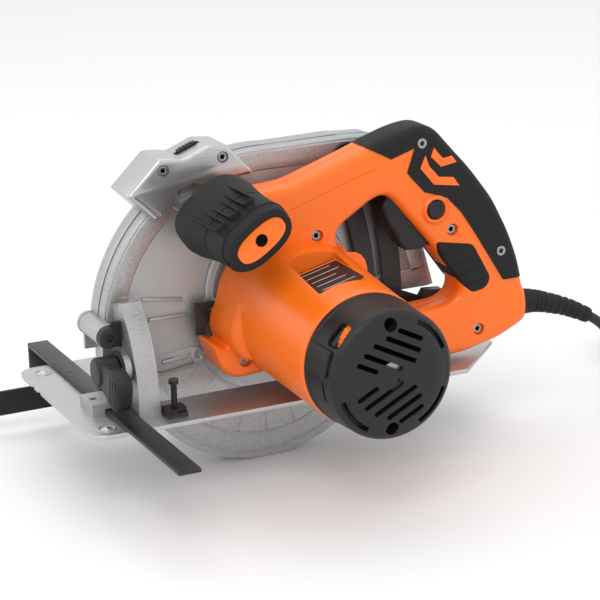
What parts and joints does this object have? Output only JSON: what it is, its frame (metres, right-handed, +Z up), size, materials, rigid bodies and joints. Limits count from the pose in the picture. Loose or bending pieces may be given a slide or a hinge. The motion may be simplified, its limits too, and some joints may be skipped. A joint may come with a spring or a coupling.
{
  "type": "circular saw",
  "caption": "Hand-held circular saw with tilting sole, depth arc, swinging blade guard, geared motor, parallel guide and power cord.",
  "frame": {"origin": "on the sole's underside, on the line of cut, straight below the blade's arbor", "axes": "-X is the direction of cut, +X the handle and cord, -Y the motor side, +Z up from the sole"},
  "size_m": [0.588, 0.3, 0.2299],
  "materials": {
    "sole_alloy": "satin pressed sheet",
    "cast_alloy": "pebbled cast light alloy, painted silver",
    "bright_steel": "turned and ground steel",
    "black_steel": "black oxide and paint",
    "orange_plastic": "moulded nylon, half gloss",
    "black_rubber": "soft overmould",
    "grey_plastic": "moulded nylon, matt",
    "copper": "wound copper and brass",
    "label": "blank plate",
    "clear": "clear window"
  },
  "bodies": {
    "sole": {"base_plate": "sole_alloy", "plate_rivets": "sole_alloy", "bevel_quadrant": "cast_alloy", "bevel_stop_screw": "black_steel", "rear_bevel_bracket": "black_steel"},
    "tilt_frame": {"tilt_bracket": "black_steel", "depth_arc": "black_steel", "bevel_pins": "bright_steel", "depth_pivot_bolt": "black_steel"},
    "lower_guard": {"lower_guard": "cast_alloy"},
    "blade": {"saw_blade": "bright_steel", "spindle": "bright_steel", "inner_flange": "bright_steel", "outer_flange": "bright_steel", "arbor_bolt": "bright_steel", "drive_gear": "bright_steel"},
    "armature": {"armature_shaft": "bright_steel", "armature_core": "copper", "commutator": "copper", "cooling_fan": "grey_plastic"},
    "trigger": {"trigger": "grey_plastic"},
    "lock_off": {"lock_off_button": "grey_plastic"},
    "speed_dial": {"speed_dial": "orange_plastic"},
    "spindle_lock": {"spindle_lock": "black_steel"},
    "bevel_knob": {"bevel_knob": "grey_plastic"},
    "depth_lever": {"depth_lever": "black_steel"},
    "parallel_guide": {"parallel_guide": "black_steel"},
    "laser_switch": {"laser_switch": "grey_plastic"},
    "saw": {"upper_guard": "cast_alloy", "guard_cover": "cast_alloy", "guard_screws": "bright_steel", "dust_plug": "grey_plastic", "spindle_bearings": "bright_steel", "armature_bearings": "bright_steel", "stator": "bright_steel", "brush_holders": "copper", "motor_housing": "orange_plastic", "housing_screws": "bright_steel", "motor_end_cap": "grey_plastic", "end_cap_screws": "bright_steel", "label_plate": "label", "handle_near_shell": "orange_plastic", "handle_far_shell": "orange_plastic", "handle_overmould": "black_rubber", "grip_pad": "black_rubber", "handle_screws": "bright_steel", "switch_body": "grey_plastic", "front_grip": "black_rubber", "front_grip_insert": "orange_plastic", "front_grip_screw": "bright_steel", "laser_housing": "cast_alloy", "laser_screws": "bright_steel", "laser_lens": "clear", "depth_bolt": "bright_steel", "cord_boot": "black_rubber", "power_cord": "black_rubber", "cord_coil": "black_rubber", "plug": "grey_plastic"}
  },
  "joints": [
    {"name": "bevel_tilt", "type": "hinge", "parent": "sole", "child": "tilt_frame", "pos_m": [0, 0, 0.012], "axis": [-1, 0, 0], "range_deg": [0, 45]},
    {"name": "depth_swing", "type": "hinge", "parent": "tilt_frame", "child": "saw", "pos_m": [-0.1185, 0, 0.0535], "axis": [0, -1, 0], "range_deg": [0, 22]},
    {"name": "guard_swing", "type": "hinge", "parent": "saw", "child": "lower_guard", "pos_m": [0, 0, 0.044], "axis": [0, -1, 0], "range_deg": [0, 100], "stiffness_Nm_per_rad": 0.3, "springref_deg": -34.38},
    {"name": "blade_spin", "type": "hinge", "parent": "saw", "child": "blade", "pos_m": [0, 0, 0.044], "axis": [0, 1, 0], "continuous": true},
    {"name": "armature_spin", "type": "hinge", "parent": "saw", "child": "armature", "pos_m": [0.01606, 0, 0.04683], "axis": [0, 1, 0], "continuous": true},
    {"name": "trigger_pull", "type": "hinge", "parent": "saw", "child": "trigger", "pos_m": [0.084, -0.042, 0.127], "axis": [0, -1, 0], "range_deg": [0, 9], "stiffness_Nm_per_rad": 0.5, "springref_deg": -11.46},
    {"name": "lock_off_press", "type": "slide", "parent": "saw", "child": "lock_off", "axis": [0, 1, 0], "range_m": [0, 0.0022], "stiffness_N_per_m": 250, "springref_m": -0.002},
    {"name": "dial_turn", "type": "hinge", "parent": "saw", "child": "speed_dial", "pos_m": [0.002, -0.149, 0.066], "axis": [0, 1, 0], "range_deg": [-130, 130]},
    {"name": "spindle_lock_press", "type": "slide", "parent": "saw", "child": "spindle_lock", "axis": [1, 0, 0], "range_m": [0, 0.005], "stiffness_N_per_m": 300, "springref_m": -0.003},
    {"name": "bevel_clamp_turn", "type": "hinge", "parent": "tilt_frame", "child": "bevel_knob", "pos_m": [0, -0.03897, 0.0345], "axis": [1, 0, 0], "range_deg": [-30, 20]},
    {"name": "depth_clamp_turn", "type": "hinge", "parent": "saw", "child": "depth_lever", "pos_m": [0.08441, 0, 0.04748], "axis": [0, -1, 0], "range_deg": [0, 45]},
    {"name": "guide_slide", "type": "slide", "parent": "sole", "child": "parallel_guide", "axis": [0, 1, 0], "range_m": [-0.035, 0.1]},
    {"name": "laser_switch_slide", "type": "slide", "parent": "saw", "child": "laser_switch", "axis": [0.9336, 0, 0.3584], "range_m": [-0.0015, 0.0015]}
  ],
  "couplings": [
    {"joint": "armature_spin", "follows": "blade_spin", "ratio": -4}
  ]
}
